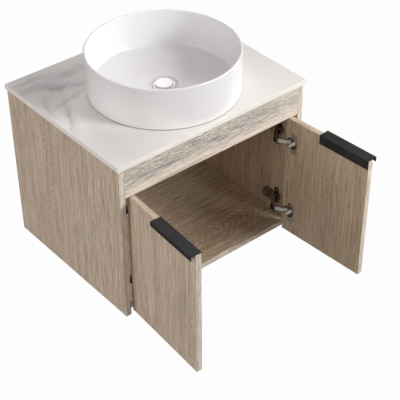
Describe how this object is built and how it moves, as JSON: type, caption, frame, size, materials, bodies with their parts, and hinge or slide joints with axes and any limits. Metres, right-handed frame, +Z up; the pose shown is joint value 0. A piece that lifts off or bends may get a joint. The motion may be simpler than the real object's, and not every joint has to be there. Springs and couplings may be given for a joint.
{
  "type": "vessel sink on vanity",
  "caption": "Wall-hung bathroom vanity with a round vessel basin on a thin stone-look top and an open-fronted cabinet closed by a pair of hinged doors with edge pulls.",
  "frame": {"origin": "on the wall plane, midway between the two upper wall screws", "axes": "+X to the right seen from the front, +Y towards the wall, +Z up"},
  "size_m": [0.6, 0.7405, 0.584],
  "materials": {
    "oak_laminate": "matt greyed oak grain laminate",
    "stone_top": "white with soft grey veins, satin",
    "glazed_ceramic": "white gloss glaze",
    "black_grip": "fine textured black powder coat",
    "nickel_hinge": "nickel plated",
    "zinc_fitting": "bare die cast",
    "chrome_drain": "polished",
    "black_rubber": "matt",
    "sealant": "matt",
    "white_plastic": "matt",
    "beech_dowel": "raw"
  },
  "bodies": {
    "cabinet": {"basin_seals": "sealant", "bottom_panel": "oak_laminate", "cam_bolts": "zinc_fitting", "cam_locks": "zinc_fitting", "countertop": "stone_top", "dowels": "beech_dowel", "drain_body": "chrome_drain", "drain_gasket": "black_rubber", "drain_lock_nut": "chrome_drain", "drain_washer": "white_plastic", "front_rail": "oak_laminate", "hinge_adjusters": "nickel_hinge", "left_hinge_pins": "nickel_hinge", "left_lower_hinge_arm": "nickel_hinge", "left_lower_mounting_plate": "nickel_hinge", "left_side_panel": "oak_laminate", "left_upper_hinge_arm": "nickel_hinge", "left_upper_mounting_plate": "nickel_hinge", "lower_back_rail": "oak_laminate", "plate_screws": "nickel_hinge", "right_hinge_pins": "nickel_hinge", "right_lower_hinge_arm": "nickel_hinge", "right_lower_mounting_plate": "nickel_hinge", "right_side_panel": "oak_laminate", "right_upper_hinge_arm": "nickel_hinge", "right_upper_mounting_plate": "nickel_hinge", "tailpiece": "chrome_drain", "tailpiece_nut": "chrome_drain", "upper_back_rail": "oak_laminate", "vessel_basin": "glazed_ceramic"},
    "left_door": {"left_cup_screws": "nickel_hinge", "left_door": "oak_laminate", "left_handle": "black_grip", "left_handle_screws": "nickel_hinge", "left_lower_hinge_cup": "nickel_hinge", "left_upper_hinge_cup": "nickel_hinge"},
    "right_door": {"right_cup_screws": "nickel_hinge", "right_door": "oak_laminate", "right_handle": "black_grip", "right_handle_screws": "nickel_hinge", "right_lower_hinge_cup": "nickel_hinge", "right_upper_hinge_cup": "nickel_hinge"},
    "left_front_links": {"left_front_links": "nickel_hinge"},
    "left_rear_links": {"left_rear_links": "nickel_hinge"},
    "right_front_links": {"right_front_links": "nickel_hinge"},
    "right_rear_links": {"right_rear_links": "nickel_hinge"},
    "plug": {"plug_cap": "glazed_ceramic", "plug_seal": "black_rubber", "plug_stem": "chrome_drain"}
  },
  "joints": [
    {"name": "left_door_hinge", "type": "hinge", "parent": "cabinet", "child": "left_door", "pos_m": [-0.267, -0.4745, -0.22225], "axis": [0, 0, -1], "range_deg": [-93.5, 6.5]},
    {"name": "left_front_link_pivot", "type": "hinge", "parent": "cabinet", "child": "left_front_links", "pos_m": [-0.2354, -0.4541, -0.22225], "axis": [0, 0, 1], "range_deg": [-37, 3]},
    {"name": "left_rear_link_pivot", "type": "hinge", "parent": "cabinet", "child": "left_rear_links", "pos_m": [-0.236, -0.4455, -0.22225], "axis": [0, 0, 1], "range_deg": [-28.5, 2]},
    {"name": "right_door_hinge", "type": "hinge", "parent": "cabinet", "child": "right_door", "pos_m": [0.267, -0.4745, -0.22225], "axis": [0, 0, 1], "range_deg": [-93.5, 6.5]},
    {"name": "right_front_link_pivot", "type": "hinge", "parent": "cabinet", "child": "right_front_links", "pos_m": [0.2354, -0.4541, -0.22225], "axis": [0, 0, -1], "range_deg": [-37, 3]},
    {"name": "right_rear_link_pivot", "type": "hinge", "parent": "cabinet", "child": "right_rear_links", "pos_m": [0.236, -0.4455, -0.22225], "axis": [0, 0, -1], "range_deg": [-28.5, 2]},
    {"name": "plug_lift", "type": "slide", "parent": "cabinet", "child": "plug", "axis": [0, 0, 1], "range_m": [0, 0.01]}
  ],
  "couplings": [
    {"joint": "left_front_link_pivot", "follows": "left_door_hinge", "ratio": 0.3925},
    {"joint": "left_rear_link_pivot", "follows": "left_door_hinge", "ratio": 0.3026},
    {"joint": "right_front_link_pivot", "follows": "right_door_hinge", "ratio": 0.3925},
    {"joint": "right_rear_link_pivot", "follows": "right_door_hinge", "ratio": 0.3026}
  ]
}
